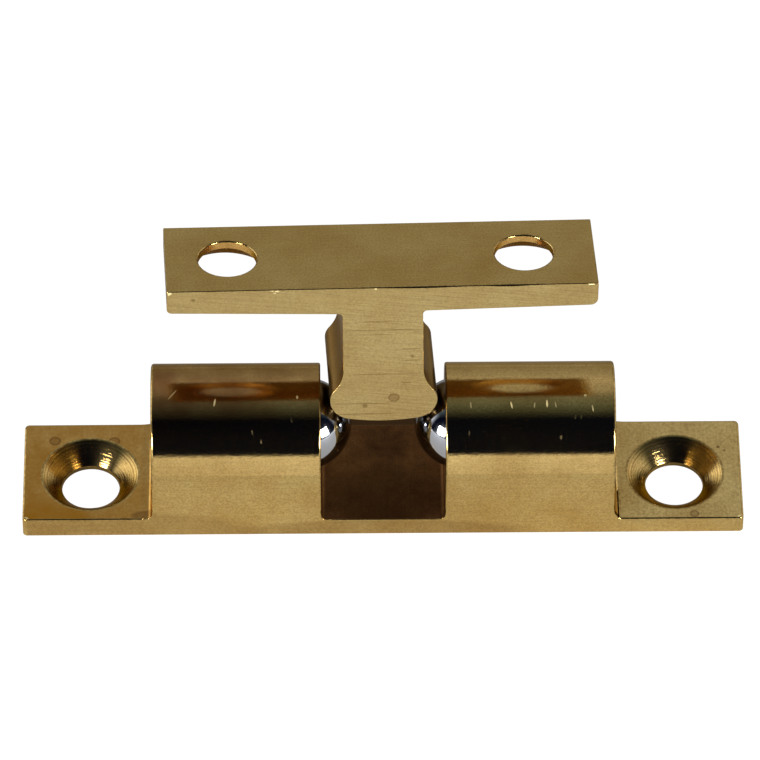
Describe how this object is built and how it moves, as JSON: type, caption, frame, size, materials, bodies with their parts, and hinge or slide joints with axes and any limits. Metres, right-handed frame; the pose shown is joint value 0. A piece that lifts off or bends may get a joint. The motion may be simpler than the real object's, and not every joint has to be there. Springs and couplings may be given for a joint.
{
  "type": "bead catch",
  "caption": "Brass cabinet door catch: spring-loaded steel balls in the barrels of a screw-down body grip the waisted stem of a separate T-shaped striker.",
  "frame": {"origin": "centre of the catch body's flat mounting face", "axes": "+X along the catch body, +Z away from the mounting face, towards the striker, +Y to the side that the striker leans to"},
  "size_m": [0.05, 0.0125, 0.0201],
  "materials": {
    "machined_brass": "bright machined, with fine cutter lines",
    "striker_brass": "bright machined, with saw and cutter lines",
    "ball_steel": "polished hardened steel",
    "spring_steel": "bright drawn wire",
    "screw_brass": "turned"
  },
  "bodies": {
    "catch": {"catch_body": "machined_brass", "spring_left": "spring_steel", "spring_right": "spring_steel"},
    "left_ball": {"ball_left": "ball_steel"},
    "right_ball": {"ball_right": "ball_steel"},
    "striker": {"striker": "striker_brass"},
    "left_screw": {"adjusting_screw_left": "screw_brass"},
    "right_screw": {"adjusting_screw_right": "screw_brass"}
  },
  "joints": [
    {"name": "left_ball_press", "type": "slide", "parent": "catch", "child": "left_ball", "axis": [-1, 0, 0], "range_m": [0, 0.0018], "stiffness_N_per_m": 3000, "springref_m": -0.0012, "deforming": ["spring_left"]},
    {"name": "right_ball_press", "type": "slide", "parent": "catch", "child": "right_ball", "axis": [1, 0, 0], "range_m": [0, 0.0018], "stiffness_N_per_m": 3000, "springref_m": -0.0012, "deforming": ["spring_right"]},
    {"name": "striker_lift", "type": "slide", "parent": "catch", "child": "striker", "axis": [0, 0, 1], "range_m": [0, 0.012]},
    {"name": "left_screw_turn", "type": "hinge", "parent": "catch", "child": "left_screw", "pos_m": [-0.0124, 0, 0.00645], "axis": [1, 0, 0], "range_deg": [-288, 360]},
    {"name": "right_screw_turn", "type": "hinge", "parent": "catch", "child": "right_screw", "pos_m": [0.0124, 0, 0.00645], "axis": [-1, 0, 0], "range_deg": [-288, 360]}
  ]
}
